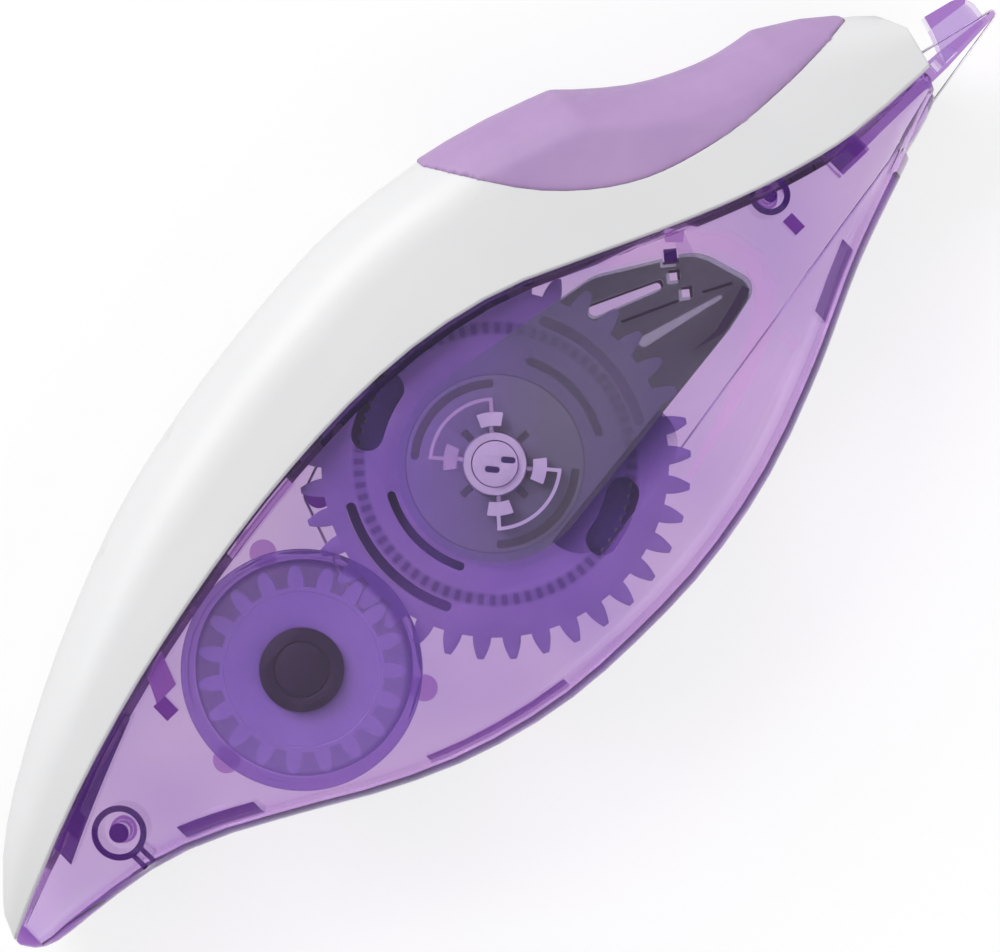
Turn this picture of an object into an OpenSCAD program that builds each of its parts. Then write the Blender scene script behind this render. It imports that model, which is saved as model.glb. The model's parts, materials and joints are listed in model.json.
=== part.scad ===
// Pen-style correction tape. A white spine with a soft grip closes two clear
// shells, and inside them a toothed supply reel drives a take-up reel.
// X runs from the tail to the tip, Y towards the spine, Z through the
// thickness. The supply reel turns about Z at X = Y = 0, and the part lies on
// its far shell at Z = 0.

/* [Tape] */
// Width of the tape
tape_w = 5; // [4.5:0.1:5.6]
// Outer radius of the tape left on the supply reel
roll_r = 13; // [11:0.1:13.2]
// Outer radius of the used liner on the take-up reel
liner_r = 6.8; // [6:0.1:7.4]
// Thickness of the tape strands
tape_t = 0.15; // [0.1:0.01:0.2]

/* [Gears] */
// Tooth module of both gears
gear_m = 0.95; // [0.92:0.005:0.96]
// Teeth on the supply gear
supply_z = 37; // [36:1:38]
// Teeth on the take-up gear
take_z = 19; // [18:1:19]
// Thickness of the gear rims
gear_t = 2.2; // [1.8:0.1:2.6]
// Thinning of each tooth flank, for backlash
flank_gap = 0.08; // [0.06:0.01:0.12]
// Radius of the supply spindle
spindle_r = 2.2; // [1.9:0.05:2.2]
// Radius of the take-up spindle
take_spindle_r = 1.6; // [1.4:0.05:1.7]
// Running clearance of the bores
run_gap = 0.06; // [0.03:0.01:0.09]

/* [Case] */
// Wall of the clear shells
shell_wall = 1; // [0.9:0.05:1.2]
// Wall of the clear shells along the belly
side_wall = 1; // [0.9:0.05:1.2]
// Wall of the white spine
spine_wall = 1.5; // [1.3:0.1:1.6]
// Thickness of the soft grip
grip_t = 1.1; // [0.9:0.1:1.2]
// How far the grip stands proud of the spine
grip_proud = 0.2; // [0.1:0.05:0.3]
// Thickness of the reel plates
plate_t = 0.7; // [0.6:0.05:0.8]

/* [Tip] */
// Radius of the applicator edge
edge_r = 0.3; // [0.25:0.05:0.35]
// Thickness of the tape guides beside the edge
guide_t = 0.7; // [0.6:0.1:0.9]

/* [Hidden] */
$fn = 64;
// Outlines seen from the side, as [x, y] stations of smooth curves
BACK = [[-64, -0.6], [-63.3, 1.4], [-62, 3], [-58, 6.9], [-50, 12], [-40, 17.1], [-28, 21.9],
        [-14, 25.1], [0, 26.7], [6, 26.7], [14, 25.8], [22, 23.9], [28.3, 21.7]];
SCOOP = [[28.3, 21.7], [31, 19.2], [35, 16.2], [40, 13.8], [43, 12.95], [46, 12.5]];
FRONT = [[46, 12.5], [50, 10.1], [54, 6.9], [58, 3.3]];
SEAM = [[-64, -0.9], [-60, 0.9], [-50, 4.9], [-40, 8.1], [-30, 10.5], [-20, 12.3], [-12, 13.2],
        [-4, 13.55], [4, 13], [12, 11.2], [20, 7.8], [28, 4.3], [36, 1.3], [44, -0.8], [50, -1.4],
        [58, -1.6]];
BELLY = [[-64, -1.7], [-63.2, -2.8], [-61.5, -3.7], [-57, -4.2], [-50, -5.1], [-44, -7], [-36, -11.1],
         [-28, -15.5], [-20, -18.8], [-11, -20.9], [-2, -21.4], [8, -20.9], [18, -18.8], [28, -15],
         [38, -10.3], [48.3, -6.5]];
LIP = [[48.3, -6], [51, -5.3], [53.6, -4.3], [54.6, -3.5], [54.9, -2.6]];
GRIP = [[14, 26], [16, 22.6], [20, 16.6], [24, 12.6], [28, 9.9], [32, 8.3], [38, 7], [45, 6.6],
        [50, 6.8], [54, 7.3]];
// Half thickness along the length, cut flat over the reels
WIDTH = [[-64, 2.2], [-62, 3.6], [-58, 5.6], [-52, 7.4], [-44, 8.7], [-38, 9], [28, 9], [36, 8.4],
         [44, 7], [51, 5.7], [58, 5]];

clutch_t = 0.5;
seam_gap = 0.1;
spring_t = 0.45;
half_t = tape_w / 2 + 0.3 + clutch_t + 0.2 + gear_t + 0.12 + plate_t + 0.1 + spring_t + 0.43 + shell_wall;
ledge_t = 1;
z_gear = tape_w / 2 + 0.3 + clutch_t + 0.2;
z_top = z_gear + gear_t;
z_plate = z_top + 0.12;
z_spring = z_plate + plate_t + 0.1;
z_wall = half_t - shell_wall;
gear_d = gear_m * (supply_z + take_z) / 2;
mesh_a = 182.8;
take_x = gear_d * cos(mesh_a);
take_y = gear_d * sin(mesh_a);
core_r = 8.4;
take_core_r = 4.6;
tip_x = 63.4;
tip_y = -2.05;
pin_r = 1.3;

// Smooth curve through stations
function seg(p, x, i = 0) = i >= len(p) - 2 || x < p[i + 1][0] ? i : seg(p, x, i + 1);
function chord(p, i) = (p[i + 1][1] - p[i][1]) / (p[i + 1][0] - p[i][0]);
function slope(p, i) = i == 0 ? chord(p, 0) : i == len(p) - 1 ? chord(p, i - 1)
  : (p[i + 1][1] - p[i - 1][1]) / (p[i + 1][0] - p[i - 1][0]);
function hermite(p, x, i) = let (h = p[i + 1][0] - p[i][0], t = (x - p[i][0]) / h)
  p[i][1] * (1 + 2 * t) * (1 - t) * (1 - t) + slope(p, i) * h * t * (1 - t) * (1 - t)
  + p[i + 1][1] * t * t * (3 - 2 * t) + slope(p, i + 1) * h * t * t * (t - 1);
function along(p, x) = hermite(p, x, seg(p, x));

function y_back(x) = x <= 28.3 ? along(BACK, x) : x <= 46 ? along(SCOOP, x) : along(FRONT, x);
function y_seam(x) = along(SEAM, x);
function y_belly(x) = x <= 48.3 ? along(BELLY, x) : along(LIP, x);
function y_grip(x) = along(GRIP, x);
function half_w(x) = min(half_t, along(WIDTH, x) * half_t / 8.5);
function ramp(x, a, b) = max(0, min(1, (x - a) / (b - a)));
function ledge(x) = 0.05 + 2.45 * ramp(x, -57, -51) * (1 - ramp(x, 40, 46));

// Stations along the length, shared so that neighbouring pieces follow the same chords
TAIL_X = [-64, -63.7, -63.2, -62.4, -61.2, -59.5, -57, -54];
MAIN_X = concat([for (x = [-50 : 4 : 26]) x], [28.3], [for (x = [30 : 2 : 46]) x]);
SHELL_X = concat(TAIL_X, MAIN_X, [48.2, 48.5, 50, 52, 53.6, 54.4, 54.9]);
CAVITY_X = concat([-62.4, -61.2, -59.5, -57, -54], MAIN_X, [50, 54, 57]);
SPINE_X = concat(TAIL_X, MAIN_X, [50, 54, 58]);
HOLLOW_X = concat([-57, -54], MAIN_X, [50, 53.8]);
GRIP_X = concat([10, 14, 18, 22, 26, 28.3], [for (x = [30 : 2 : 46]) x], [50, 54]);

// Sections across the length, as [y, w] with w measured from the middle plane
function bend(n) = [for (i = [0 : n]) 90 * i / n];
function shell_section(x) = let (a = y_belly(x), s = y_seam(x) - seam_gap, h = half_w(x),
    hl = h - spine_wall - 0.05, e = s + ledge(x), c = min(0.3, (s - a) * 0.15),
    ry = min(3.2, (s - a) * 0.6), rw = min(4.2, h * 0.6))
  concat([[a, 0], [e, 0], [e, hl], [s, hl], [s, h - c], [s - c, h]],
         [for (t = bend(5)) [a + ry * (1 - sin(t)), h - rw * (1 - cos(t))]]);
function cavity_section(x) = let (a = y_belly(x), s = y_seam(x), h = half_w(x), g = s - a,
    wall = side_wall * max(0.65, min(1, g / 5)), hl = h - spine_wall - 0.05 - ledge_t,
    ry = min(2.2, g * 0.25), rw = min(3, h * 0.36), q = min(1, g / 8), b = a + wall)
  concat([[b, -1], [s + ledge(x) + 3, -1], [s + ledge(x) + 3, hl], [s - 0.2 * q, hl],
          [s - q, h - shell_wall]],
         [for (t = bend(4)) [b + ry * (1 - sin(t)), h - shell_wall - rw * (1 - cos(t))]]);
function spine_half(x, out, low) = let (s = y_seam(x) - low, h = half_w(x) + out, t = y_back(x) + out,
    ry = min(7, (t - y_seam(x)) * 0.62), rw = h * 0.82)
  concat([[s, h - 0.25], [s + 0.25, h]],
         [for (a = bend(6)) [t - ry * (1 - sin(a)), h - rw * (1 - cos(a))]]);
function mirrored(p) = [for (i = [len(p) - 1 : -1 : 0]) [p[i][0], -p[i][1]]];
function spine_section(x, out, low) = let (p = spine_half(x, out, low)) concat(mirrored(p), p);
function placed(x, p) = [for (q = p) [x, q[0], q[1]]];

// Closed solid through sections of equal length
module loft(rings) {
  n = len(rings[0]);
  m = len(rings);
  side = [for (j = [0 : m - 2]) for (i = [0 : n - 1])
    let (a = j * n + i, b = j * n + (i + 1) % n) each [[a, b + n, b], [a, a + n, b + n]]];
  last = (m - 1) * n;
  caps = [for (i = [1 : n - 2]) each [[0, i, i + 1], [last, last + i + 1, last + i]]];
  polyhedron([for (r = rings) each r], concat(side, caps));
}

// Chain of convex solids between neighbouring sections
module chain(rings) {
  for (j = [0 : len(rings) - 2])
    hull() loft([rings[j], rings[j + 1]]);
}

module at_middle() translate([0, 0, half_t]) children();
module disc(r, w0, w1) translate([0, 0, half_t + w0]) cylinder(r = r, h = w1 - w0);
module ring(r0, r1, w0, w1) difference() {
  disc(r1, w0, w1);
  disc(r0, w0 - 1, w1 + 1);
}
module sector(r0, r1, a0, a1, w0, w1) translate([0, 0, half_t + w0]) rotate([0, 0, a0])
  rotate_extrude(angle = a1 - a0) translate([r0, 0]) square([r1 - r0, w1 - w0]);
module round_slot(r0, r1, a0, a1, w0, w1) {
  sector(r0, r1, a0, a1, w0, w1);
  for (a = [a0, a1])
    rotate([0, 0, a]) translate([(r0 + r1) / 2, 0, 0]) disc((r1 - r0) / 2, w0, w1);
}
module block(x0, x1, y0, y1, w0, w1) translate([x0, y0, half_t + w0]) cube([x1 - x0, y1 - y0, w1 - w0]);
module slab(points, w0, w1) translate([0, 0, half_t + w0]) linear_extrude(w1 - w0) polygon(points);

// Involute gear outline
function inv(rb, r) = let (a = acos(min(1, rb / r))) tan(a) * 180 / PI - a;
function on_circle(r, a) = r * [cos(a), sin(a)];
function gear_outline(z, turn) = let (rp = gear_m * z / 2, rb = rp * cos(20), ra = rp + 0.95 * gear_m,
    rr = rp - 1.25 * gear_m, rs = max(rb, rr), half = 90 / z - flank_gap / rp * 180 / PI + inv(rb, rp),
    rise = [for (i = [0 : 4]) rs + (ra - rs) * i / 4])
  [for (k = [0 : z - 1]) let (c = turn + 360 * k / z) each concat(
    [on_circle(rr, c - half + inv(rb, rs))],
    [for (i = [0 : 4]) on_circle(rise[i], c - half + inv(rb, rise[i]))],
    [for (i = [4 : -1 : 0]) on_circle(rise[i], c + half - inv(rb, rise[i]))],
    [on_circle(rr, c + half - inv(rb, rs))])];

// Strand that runs around circles [x, y, r], on its left where r is positive
function polar(c, r, a) = [c[0] + r * cos(a), c[1] + r * sin(a)];
function leave(c, d) = let (v = [d[0] - c[0], d[1] - c[1]])
  atan2(v[1], v[0]) - acos((c[2] - d[2]) / norm(v));
function unwound(r, a0, a1) = r > 0 ? (a1 < a0 ? a1 + 360 : a1) : (a1 > a0 ? a1 - 360 : a1);
function arc_on(c, a0, a1, off) = let (b = unwound(c[2], a0, a1), n = max(1, ceil(abs(b - a0) / 15)))
  [for (i = [0 : n]) polar(c, c[2] + off, a0 + (b - a0) * i / n)];
function strand_side(cs, first, last, off) = [for (i = [0 : len(cs) - 1]) each
  i == 0 ? arc_on(cs[0], first, leave(cs[0], cs[1]), off)
  : i == len(cs) - 1 ? arc_on(cs[i], leave(cs[i - 1], cs[i]), last, off)
  : arc_on(cs[i], leave(cs[i - 1], cs[i]), leave(cs[i], cs[i + 1]), off)];
function reversed(p) = [for (i = [len(p) - 1 : -1 : 0]) p[i]];
module strand(cs, first, last) slab(concat(strand_side(cs, first, last, tape_t / 2),
  reversed(strand_side(cs, first, last, -tape_t / 2))), -tape_w / 2, tape_w / 2);

SUPPLY_C = [0, 0, roll_r + 0.3];
EDGE_C = [tip_x, tip_y, edge_r + 0.03 + tape_t / 2];
NOSE_C = [42, 4.6, -pin_r - 0.05 - tape_t / 2];
CROWN_C = [8, 17.4, pin_r + 0.05 + tape_t / 2];
TURN_C = [-14, 9.5, pin_r + 0.05 + tape_t / 2];
TAKE_C = [take_x, take_y, -liner_r - 0.3];

// Strip that follows the belly inside the wall
function belly_strip(x0, x1, lo, hi) = let (xs = [for (i = [0 : 4]) x0 + (x1 - x0) * i / 4])
  concat([for (x = xs) [x, y_belly(x) + lo]], reversed([for (x = xs) [x, y_belly(x) + hi]]));

// Strip that hangs below the seam, [x0, x1, depth at x0, depth at x1]
function seam_strip(x0, x1, d0, d1) = let (xs = [for (i = [0 : 6]) x0 + (x1 - x0) * i / 6])
  concat([for (x = xs) [x, y_seam(x) - 0.4]],
         reversed([for (x = xs) [x, y_seam(x) - d0 - (d1 - d0) * ramp(x, x0, x1)]]));

// One clear shell, with its outer face towards positive w
module half_shell() difference() {
  loft([for (x = SHELL_X) placed(x, shell_section(x))]);
  loft([for (x = CAVITY_X) placed(x, cavity_section(x))]);
  translate([46.4, -9, -1]) cube([12, 8.5, 3.9]);
}

// Groove inside the shell, round the end of the window over the supply reel
EYE = [[20, 6.6, 0.2], [24, 4.8, 0.7], [28, 2.7, 1], [30.3, -0.2, 1.1], [30.9, -3, 1.1], [30, -5.7, 1.1],
       [27.5, -8, 1.1], [23, -10.3, 0.9], [17, -12.4, 0.5], [12, -13.7, 0.2]];
function eye_side(s) = [for (i = [0 : len(EYE) - 1])
  let (a = EYE[max(0, i - 1)], b = EYE[min(len(EYE) - 1, i + 1)],
    d = [b[0] - a[0], b[1] - a[1]] / norm([b[0] - a[0], b[1] - a[1]]))
  [EYE[i][0] - s * d[1] * EYE[i][2], EYE[i][1] + s * d[0] * EYE[i][2]]];
module eye_groove(w0, w1) slab(concat(eye_side(1), reversed(eye_side(-1))), w0, w1);

// Posts that join the shells, [x, y, r]: a tube on each shell, and a pin in a socket
POSTS = [[-49.6, -0.4, 2.6], [36.2, 0.2, 1.9]];
function post_h(p) = min(half_w(p[0] - p[2]), half_w(p[0] + p[2])) - shell_wall + 0.25;
module post(p) translate([p[0], p[1], 0]) difference() {
  union() {
    ring(p[2] - 0.6, p[2], 0.02, post_h(p));
    children();
  }
  block(-5, 5, min(y_seam(p[0] - p[2]), y_seam(p[0] + p[2])) - p[1] - 0.3, 9,
        half_w(p[0] + 3) - spine_wall - 0.1, 20);
}
module mirror_middle() translate([0, 0, half_t]) mirror([0, 0, 1]) translate([0, 0, -half_t]) children();
// Ribs and posts that both shells have
module shell_ribs() {
  for (x = [-50.35, -49.35])
    block(x, x + 0.5, y_belly(-49.6) + 0.6, -2.6, 0.3, post_h(POSTS[0]));
  slab(seam_strip(-55, -41.4, 2.4, 1.1), 0.3, half_w(-55) - shell_wall - 0.1);
  slab(seam_strip(-53, -41.4, 2, 1.1), 0.3, half_w(-51) - shell_wall);
  slab(seam_strip(-24, -15, 0.9, 1), 6.2, z_wall + 0.1);
  translate([25.5, 2.65, 0]) rotate([0, 0, -38]) block(-0.62, 0.62, -0.62, 0.62, 0.05, z_wall + 0.1);
}

module near_shell() color([0.78, 0.64, 0.86, 0.5]) {
  difference() {
    at_middle() half_shell();
    eye_groove(z_wall - 1, z_wall + 0.5);
    block(27.5, 28.7, -11.9, -10.1, z_wall - 1, z_wall + 0.5);
  }
  shell_ribs();
  for (p = POSTS)
    post(p) disc(p[2] * 0.36, -4, half_w(p[0]) - shell_wall + 0.2);
  block(42.5, 46, -3.2, -1.4, tape_w / 2 + 0.42, half_w(46) - shell_wall + 0.3);
  block(42.5, 46, -3.2, 0.2, tape_w / 2 + 0.42, half_w(46) - spine_wall - 0.2);
  block(35.3, 36.5, -4.2, -2.4, 0.5, half_w(36) - shell_wall + 0.2);
  block(-39, -37.5, 4, 5.9, 0.5, z_wall + 0.2);
  slab([[-38.6, 5.8], [-37.5, 8.2], [-34.9, 9], [-36, 5.9]], 3, z_wall + 0.1);
  slab([[28, 3.4], [26.8, 4.7], [26, 3.9], [27.2, 2.7]], z_plate - 0.55, z_wall + 0.1);
  slab([[28, 3.4], [27.2, 4.3], [25.3, 0.4], [26.8, -0.3]], z_plate - 0.55, z_plate - 0.03);
}

module far_shell() color([0.72, 0.58, 0.84, 0.6]) {
  difference() {
    at_middle() mirror([0, 0, 1]) half_shell();
    eye_groove(-z_wall - 0.5, -z_wall + 1);
  }
  mirror_middle() shell_ribs();
  difference() {
    disc(spindle_r, -z_wall - 0.2, z_top + 0.5);
    disc(0.9, z_top - 2, z_wall);
  }
  ring(0, 4, -z_wall - 0.2, -tape_w / 2 - 1.6);
  translate([take_x, take_y, 0]) {
    disc(take_spindle_r, -z_wall - 0.2, z_top - 0.3);
    disc(3.2, -z_wall - 0.2, -tape_w / 2 - 1.6);
    for (a = [66, 186, 306])
      rotate([0, 0, a]) {
        block(2.5, 11.6, -0.9, 0.9, -z_wall - 0.2, -tape_w / 2 - 2.3);
        translate([11.6, 0, 0]) disc(1.3, -z_wall - 0.2, -tape_w / 2 - 2.3);
      }
  }
  for (p = POSTS)
    mirror_middle() post(p)
      ring(p[2] * 0.36 + 0.03, p[2] * 0.36 + 0.35, 2.5, half_w(p[0]) - shell_wall + 0.2);
  for (c = [NOSE_C, CROWN_C])
    translate([c[0], c[1], 0]) disc(pin_r, -tape_w / 2 - 2, tape_w / 2 + 0.3);
  translate([TURN_C[0], TURN_C[1], 0]) disc(pin_r, -z_wall - 0.2, tape_w / 2 + 0.3);
  block(6.5, 9.5, 12.2, 18.7, -tape_w / 2 - 3.1, -tape_w / 2 - 1.5);
  block(40.6, 43.4, 0.6, 5.9, -half_w(44) + spine_wall + 0.3, -tape_w / 2 - 1.2);
  block(6.5, 9.5, 10.4, 11.6, -z_wall - 0.2, -tape_w / 2 - 1.5);
  block(6.5, 9.5, 11, 13.4, -half_t + spine_wall + 0.25, -tape_w / 2 - 1.5);
  block(42.5, 46, -3.2, -1.4, -half_w(46) + shell_wall - 0.3, -tape_w / 2 - 0.42);
  block(42.5, 46, -3.2, 0.2, -half_w(46) + spine_wall + 0.2, -tape_w / 2 - 0.42);
  for (c = [[-45.5, -38.6, 1.6, 4], [-24, -9.5, 0.8, 1.5], [31.8, 38.4, 1.6, 4]]) {
    slab(belly_strip(c[0], c[1], side_wall - 0.4, side_wall + 0.4), -4, -0.2);
    slab(belly_strip(c[0], c[1], side_wall + 0.1, side_wall + c[2]), -5, c[3]);
  }
}

module spine_form(xs, out, low) at_middle() chain([for (x = xs) placed(x, spine_section(x, out, low))]);
module grip_region(w)
  slab(concat([for (x = [14.6 : 1.6 : 53]) [x, y_grip(x)]], [[53, 40], [14.6, 40]]), -w, w);
module nose_face() for (c = [[55.65, -1.5, -13], [56.45, 3, 22]])
  translate([c[0], c[1], 0]) rotate([0, 0, c[2]]) translate([0, -15, -5]) cube([20, 40, 40]);

module spine_cover() color([0.95, 0.95, 0.95]) difference() {
  union() {
    difference() {
      spine_form(SPINE_X, 0, 0);
      spine_form(HOLLOW_X, -spine_wall, 3);
    }
    for (x = [-44, -32, -20, -8, 16, 26])
      hull() {
        block(x - 0.6, x + 0.6, y_back(x) - 3.4, y_back(x) - 0.8, -2.2, 2.2);
        block(x - 0.6, x + 0.6, y_back(x) - 1.6, y_back(x) - 0.8, -4.4, 4.4);
      }
  }
  difference() {
    intersection() {
      spine_form(GRIP_X, 2, -2);
      grip_region(20);
    }
    spine_form(GRIP_X, -grip_t, 3);
  }
  nose_face();
  block(50, 62, -4, 1.2, -tape_w / 2 - 0.9, tape_w / 2 + 0.9);
}

module grip_pad() color([0.7, 0.56, 0.78]) difference() {
  intersection() {
    spine_form(GRIP_X, grip_proud, -2);
    grip_region(half_t);
  }
  spine_form(GRIP_X, -grip_t, 3);
  nose_face();
}

// Plates beside the reels, with slits at the narrow end, [x, y, r] at both ends of a slit
module bar(a, b) hull() {
  translate([a[0], a[1]]) circle(a[2]);
  translate([b[0], b[1]]) circle(b[2]);
}
module teardrop() hull() {
  circle(9.3);
  translate([17, 0.9]) circle(5.7);
  translate([24, -1.8]) circle(4.5);
  translate([27.7, -3.9]) circle(1.6);
}
module reel_plate(w0, hole) translate([0, 0, half_t + w0]) linear_extrude(plate_t) difference() {
  teardrop();
  circle(hole);
  bar([16.9, 3.9, 0.62], [22.9, 1.45, 0.42]);
  translate([25.5, 2.65]) rotate(-38) square(1.5, center = true);
  for (c = [[24.55, 1.05], [24.3, -0.9]])
    translate(c) rotate(-38) square(1.05, center = true);
  children();
}
module near_reel_plate() color([0.42, 0.42, 0.44]) {
  reel_plate(z_plate, 3.1) {
    bar([18, 1.3, 0.14], [23, -0.9, 0.14]);
    bar([25.4, -2, 0.14], [27.8, -3.2, 0.14]);
  }
  slab([[20.6, -5.2], [24, -6.1], [26.6, -5.5], [28.7, -4.8], [28.4, -4.1], [26, -4.8], [23.6, -5.4]],
       z_gear, z_wall - 0.04);
}
module far_reel_plate() color([0.36, 0.36, 0.38])
  reel_plate(-z_wall, 4.02) bar([18.4, -1.4, 0.5], [26.6, -3.4, 0.2]);

module supply_gear() color([0.44, 0.31, 0.65]) difference() {
  union() {
    slab(gear_outline(supply_z, mesh_a), z_gear, z_top);
    disc(4.2, -tape_w / 2 - 1.4, z_gear + 0.1);
  }
  disc(spindle_r + run_gap, -10, 10);
  disc(core_r + 0.06, z_top - 0.8, z_top + 1);
  for (a = [0, 180]) {
    round_slot(13.7, 14.7, a - 27, a + 27, z_gear - 1, z_top + 1);
    round_slot(9.8, 10.6, a - 27, a + 27, z_gear - 1, z_top + 1);
  }
  for (a = [112, 292])
    round_slot(10.8, 13.9, a - 11, a + 11, z_gear - 1, z_top + 1);
}

module clutch_ring() color([0.3, 0.22, 0.5]) difference() {
  slab([for (i = [0 : 143]) let (r = i % 2 == 0 ? 13.3 : 12.7) r * [cos(i * 2.5), sin(i * 2.5)]],
       tape_w / 2 + 0.3, tape_w / 2 + 0.3 + clutch_t);
  disc(core_r - 1.1, -10, 10);
}

module clutch_disc() color([0.5, 0.48, 0.55]) difference() {
  disc(core_r, z_top - 0.8, z_top);
  disc(spindle_r + run_gap, -10, 10);
  for (a = [90, 270])
    round_slot(7.2, 8, a - 40, a + 40, 0, 10);
  for (a = [0 : 90 : 270])
    rotate([0, 0, a]) block(3.1, 4.3, -0.35, 0.35, 0, 10);
}

module clutch_spring() color([0.82, 0.66, 0.88]) {
  ring(spindle_r + run_gap, 2.95, z_top, z_spring + spring_t);
  for (a = [90, 270]) {
    sector(5.95, 6.28, a - 42, a + 42, z_spring, z_spring + spring_t);
    for (s = [-1, 1]) {
      sector(3.6, 4.9, a + s * 38 - 15, a + s * 38 + 15, z_spring, z_spring + spring_t);
      rotate([0, 0, a + s * 40.2]) block(4.7, 6, -0.18, 0.18, z_spring, z_spring + spring_t);
      rotate([0, 0, a + s * 38]) block(2.8, 3.8, -0.2, 0.2, z_spring, z_spring + spring_t - 0.1);
    }
  }
}

// Cap that holds the reel on its spindle
module hub_cap() color([0.8, 0.68, 0.88]) difference() {
  union() {
    disc(spindle_r - 0.05, z_top + 0.52, z_wall - 0.15);
    disc(0.84, z_top - 1.5, z_top + 0.6);
  }
  for (c = [[1.15, -0.6], [-0.55, -0.2]])
    translate([c[0], c[1], 0]) rotate([0, 0, -50]) hull()
      for (x = [-0.4, 0.4])
        translate([x, 0, 0]) disc(0.3, z_top + 0.7, z_wall + 1);
}

module supply_core() color([0.55, 0.4, 0.72]) {
  ring(4.26, core_r, -tape_w / 2 - 0.3, z_gear - 0.2 - clutch_t);
  ring(7, core_r - 1.1, tape_w / 2, z_gear - 0.2);
  ring(4.26, 14.8, -tape_w / 2 - 1, -tape_w / 2 - 0.2);
}

module tape_roll() color([0.95, 0.95, 0.93]) ring(core_r, roll_r, -tape_w / 2, tape_w / 2);

module at_take_up() translate([take_x, take_y, 0]) children();
module take_up_gear() color([0.46, 0.33, 0.66]) at_take_up() difference() {
  union() {
    slab(gear_outline(take_z, mesh_a + 180 + 180 / take_z), z_gear + 0.1, z_top - 0.1);
    disc(3, -tape_w / 2 - 1.4, z_gear + 0.2);
  }
  disc(take_spindle_r + run_gap, -10, 10);
}
module take_up_flange() color([0.52, 0.38, 0.7]) at_take_up() {
  ring(2.6, 11.4, z_top + 0.15, z_top + 0.75);
  ring(10.7, 11.4, z_top + 0.15, z_top + 1);
  ring(2.6, 7.4, z_top - 0.1, z_top + 0.3);
}
module take_up_core() color([0.5, 0.36, 0.68]) at_take_up() {
  ring(3, take_core_r, -tape_w / 2 - 0.3, z_gear + 0.1);
  ring(3, 10.4, -tape_w / 2 - 1, -tape_w / 2 - 0.2);
}
module take_up_hub() color([0.24, 0.2, 0.28]) at_take_up() difference() {
  union() {
    disc(4, z_top + 0.75, z_top + 1.05);
    disc(2.6, z_top - 0.1, z_top + 0.8);
  }
  disc(take_spindle_r + run_gap, -10, z_top);
  ring(2.5, 2.7, z_top + 0.9, z_top + 2);
}
module liner_roll() color([0.85, 0.82, 0.88]) at_take_up()
  ring(take_core_r, liner_r, -tape_w / 2, tape_w / 2);

ARM = [[42.6, -0.6], [46, -0.5], [57, -1.1], [tip_x - 0.3, tip_y + edge_r]];
function guide_outline() = concat([[57, -2.3], [58.1, 0.4], [58.6, 2.2]],
  [for (a = [75 : -15 : -15]) polar([60.9, -0.3], 1.9, a)], [[62.6, -2.1]]);
function web_outline() = concat([[58.25, 0.95], [58.6, 2.2]],
  [for (a = [75 : -15 : 30]) polar([60.9, -0.3], 1.9, a)], [[62.3, 0.45]]);
module applicator_tip() color([0.68, 0.54, 0.8]) {
  difference() {
    slab(concat([[42.6, -2.8], [57, -2.75], [tip_x, tip_y - edge_r]], reversed(ARM)),
         -tape_w / 2 - 0.1, tape_w / 2 + 0.1);
    for (w = [-9, 0.5]) {
      block(57.1, 58.6, -2.4, -1.3, w, w + 8.5);
      block(55.9, 56.6, -2.4, -1.4, w, w + 8.5);
    }
  }
  slab(web_outline(), -tape_w / 2 - 0.2, tape_w / 2 + 0.2);
  translate([tip_x, tip_y, 0]) disc(edge_r, -tape_w / 2 - 0.1, tape_w / 2 + 0.1);
  block(42.6, 47.5, -2.8, -0.6, -tape_w / 2 - 0.42, tape_w / 2 + 0.42);
  for (w = [-tape_w / 2 - 0.1 - guide_t, tape_w / 2 + 0.1])
    slab(guide_outline(), w, w + guide_t);
}

module tape_strand() color([0.97, 0.97, 0.97])
  strand([SUPPLY_C, EDGE_C], leave(SUPPLY_C, EDGE_C) - 12, 0);
module liner_strand() color([0.88, 0.86, 0.9])
  strand([EDGE_C, NOSE_C, CROWN_C, TURN_C, TAKE_C], 2, leave(TURN_C, TAKE_C) - 14);

near_shell();
far_shell();
spine_cover();
grip_pad();
near_reel_plate();
far_reel_plate();
supply_gear();
clutch_ring();
clutch_disc();
clutch_spring();
hub_cap();
supply_core();
tape_roll();
take_up_gear();
take_up_flange();
take_up_core();
take_up_hub();
liner_roll();
applicator_tip();
tape_strand();
liner_strand();
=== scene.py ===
# %% [markdown]
# # Dressing a pen-style correction tape
# The solids of this part already have their true sizes and places. This lesson
# gives them the look of moulded plastic: two clear lilac shells, a white spine
# with a soft grip, and the coloured gear train that shows through the shells.
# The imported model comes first, because everything else is fitted to it.

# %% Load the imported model
import json
from math import atan2, cos, degrees, hypot, radians, sin

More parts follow.
